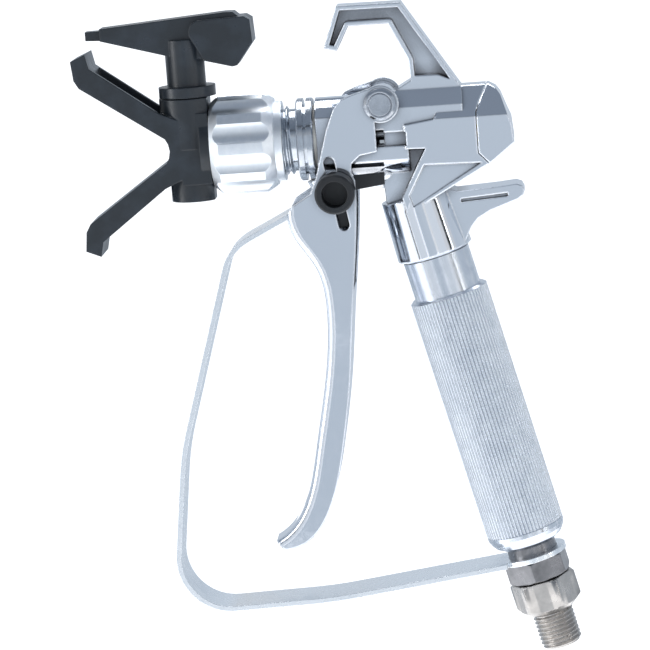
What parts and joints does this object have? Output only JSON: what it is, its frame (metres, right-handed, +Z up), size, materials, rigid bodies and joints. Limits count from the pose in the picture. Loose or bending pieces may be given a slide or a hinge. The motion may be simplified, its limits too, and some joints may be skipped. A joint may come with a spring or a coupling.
{
  "type": "airless paint spray gun",
  "caption": "Hand-held airless paint spray gun with a turnable spray tip in a V-shaped guard, finger trigger with lock, strip trigger guard and hose swivel.",
  "frame": {"origin": "the middle of the hose thread, on its axis", "axes": "+Z up, +X to the rear of the gun, -Y the gun's left side"},
  "size_m": [0.1523, 0.0394, 0.2167],
  "materials": {
    "chrome": "bright chrome over an aluminium die casting",
    "bright_steel": "bright plated steel",
    "handle_aluminium": "satin clear-anodised aluminium",
    "nut_aluminium": "satin clear-anodised aluminium",
    "black_plastic": "satin moulded black plastic",
    "lock_plastic": "satin moulded black plastic",
    "strip_steel": "bright zinc-plated steel strip",
    "fitting_steel": "turned stainless steel",
    "spring_steel": "spring wire",
    "needle_steel": "ground hardened steel",
    "carbide": "sintered carbide",
    "brass": "turned brass",
    "rubber": "black rubber",
    "seal_plastic": "moulded seal plastic",
    "gasket": "white PTFE",
    "filter_mesh": "woven stainless mesh",
    "filter_core": "moulded filter core"
  },
  "bodies": {
    "gun": {"gun_body": "chrome", "rear_cap": "chrome", "spring_plug": "brass", "needle_spring": "spring_steel", "needle_packing": "gasket", "packing_nut": "brass", "seat_housing": "bright_steel", "seat_gasket": "gasket", "valve_seat": "carbide", "handle_grip": "handle_aluminium", "handle_seal": "gasket", "filter_screen": "filter_mesh", "filter_core": "filter_core", "inlet_fitting": "fitting_steel", "swivel_ring": "rubber", "swivel_clip": "spring_steel", "trigger_guard": "strip_steel", "guard_screw": "bright_steel", "pivot_pin": "bright_steel", "pivot_screw": "bright_steel"},
    "needle": {"needle_rod": "needle_steel", "needle_ball": "carbide", "cross_pin": "needle_steel", "spring_collar": "needle_steel"},
    "trigger": {"trigger": "chrome"},
    "lock": {"trigger_lock": "lock_plastic"},
    "nut": {"retaining_nut": "nut_aluminium", "guard_ring": "spring_steel"},
    "guard": {"tip_guard": "black_plastic", "saddle_seal": "seal_plastic", "tip_gasket": "rubber"},
    "tip": {"tip_key": "black_plastic", "tip_barrel": "needle_steel", "tip_orifice": "carbide"},
    "swivel": {"hose_swivel": "fitting_steel"}
  },
  "joints": [
    {"name": "trigger_pull", "type": "hinge", "parent": "gun", "child": "trigger", "pos_m": [-0.04551, 0, 0.1775], "axis": [0, -1, 0], "range_deg": [0, 12], "stiffness_Nm_per_rad": 1.2, "springref_deg": -17.19},
    {"name": "needle_slide", "type": "slide", "parent": "gun", "child": "needle", "axis": [1, 0, 0], "range_m": [0, 0.0026], "deforming": ["needle_spring"]},
    {"name": "lock_turn", "type": "hinge", "parent": "trigger", "child": "lock", "pos_m": [-0.06151, 0, 0.1507], "axis": [0, 1, 0], "range_deg": [0, 70]},
    {"name": "nut_turn", "type": "hinge", "parent": "gun", "child": "nut", "pos_m": [-0.09151, 0, 0.1665], "axis": [1, 0, 0], "continuous": true},
    {"name": "guard_turn", "type": "hinge", "parent": "gun", "child": "guard", "pos_m": [-0.10151, 0, 0.1665], "axis": [1, 0, 0], "range_deg": [-90, 90]},
    {"name": "tip_turn", "type": "hinge", "parent": "guard", "child": "tip", "pos_m": [-0.10791, 0, 0.1665], "axis": [0, 0, 1], "range_deg": [0, 180]},
    {"name": "swivel_turn", "type": "hinge", "parent": "gun", "child": "swivel", "pos_m": [0, 0, 0], "axis": [0.2419, 0, -0.9703], "continuous": true}
  ],
  "couplings": [
    {"joint": "needle_slide", "follows": "trigger_pull", "m_per_rad": 0.0114}
  ]
}
